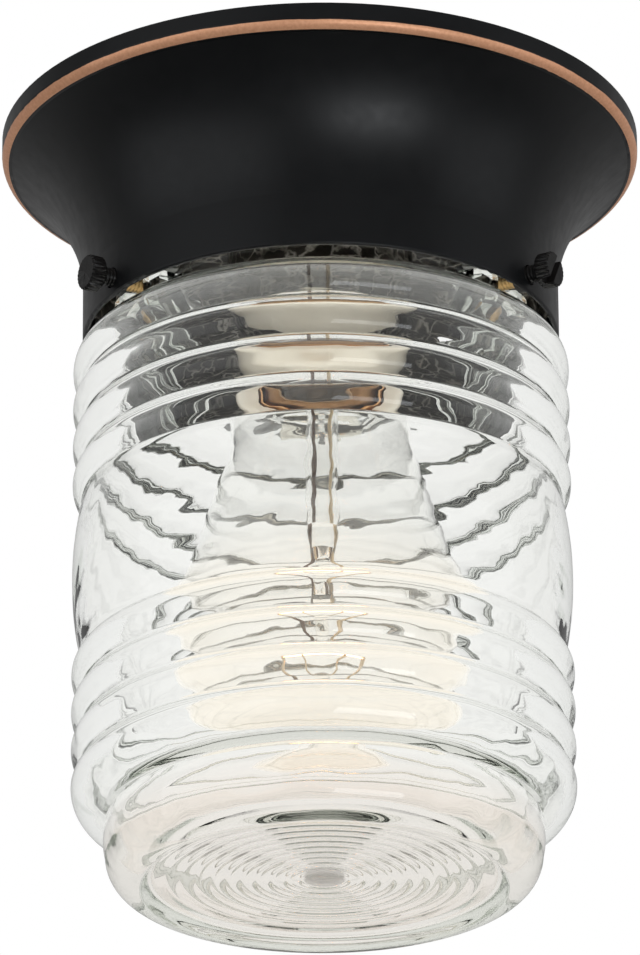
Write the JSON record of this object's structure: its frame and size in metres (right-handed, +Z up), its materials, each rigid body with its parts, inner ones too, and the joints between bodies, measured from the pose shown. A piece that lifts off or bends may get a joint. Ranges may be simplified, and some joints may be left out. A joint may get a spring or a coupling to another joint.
{
  "type": "jelly jar ceiling light",
  "caption": "Flush ceiling light: a spun dark bronze canopy holds a ribbed clear glass jar with slotted thumbscrews around a porcelain lampholder and a clear lamp.",
  "frame": {"origin": "middle of the ceiling face, on the axis of the light, midway between the strap's box slots", "axes": "+Z up into the ceiling, so the light hangs along -Z; +X to the right as seen from the front, along the mounting strap; +Y away from the viewer of the picture"},
  "size_m": [0.14, 0.14, 0.1745],
  "materials": {
    "dark_bronze": "satin",
    "jar_glass": "gloss",
    "zinc_steel": "satin",
    "green_ground": "satin",
    "porcelain": "gloss",
    "brass": "satin",
    "nickel": "gloss",
    "lamp_cap": "satin",
    "solder": "satin",
    "lamp_insulator": "gloss",
    "bulb_glass": "gloss",
    "lamp_wire": "satin",
    "filament": "matte"
  },
  "bodies": {
    "canopy": {"canopy": "dark_bronze", "socket_plate": "dark_bronze", "socket_sleeve": "dark_bronze", "mounting_strap": "zinc_steel", "mounting_screws": "zinc_steel", "socket_screws": "zinc_steel", "ground_screw": "green_ground", "socket_body": "porcelain", "socket_screw_shell": "brass", "socket_contact": "brass", "contact_rivet": "brass", "shell_rivet": "brass", "hot_terminal_clip": "brass", "neutral_terminal_clip": "brass", "hot_terminal_screw": "brass", "neutral_terminal_screw": "nickel"},
    "thumbscrew_front_right": {"thumbscrew_front_right": "dark_bronze"},
    "thumbscrew_back": {"thumbscrew_back": "dark_bronze"},
    "thumbscrew_front_left": {"thumbscrew_front_left": "dark_bronze"},
    "glass_jar": {"glass_jar": "jar_glass"},
    "bulb": {"bulb_contact": "solder", "bulb_insulator": "lamp_insulator", "bulb_cap": "lamp_cap", "bulb_glass": "bulb_glass", "bulb_stem": "bulb_glass", "bulb_lead_wires": "lamp_wire", "bulb_support_wires": "lamp_wire", "bulb_filament": "filament"}
  },
  "joints": [
    {"name": "thumbscrew_front_right_screw", "type": "slide", "parent": "canopy", "child": "thumbscrew_front_right", "axis": [0.866, -0.5, 0], "range_m": [-0.0007, 0.0075]},
    {"name": "thumbscrew_back_screw", "type": "slide", "parent": "canopy", "child": "thumbscrew_back", "axis": [0, 1, 0], "range_m": [-0.0007, 0.0075]},
    {"name": "thumbscrew_front_left_screw", "type": "slide", "parent": "canopy", "child": "thumbscrew_front_left", "axis": [-0.866, -0.5, 0], "range_m": [-0.0007, 0.0075]},
    {"name": "jar_drop", "type": "slide", "parent": "canopy", "child": "glass_jar", "axis": [0, 0, -1], "range_m": [0, 0.15]},
    {"name": "bulb_unscrew", "type": "slide", "parent": "canopy", "child": "bulb", "axis": [0, 0, -1], "range_m": [0, 0.016]}
  ]
}
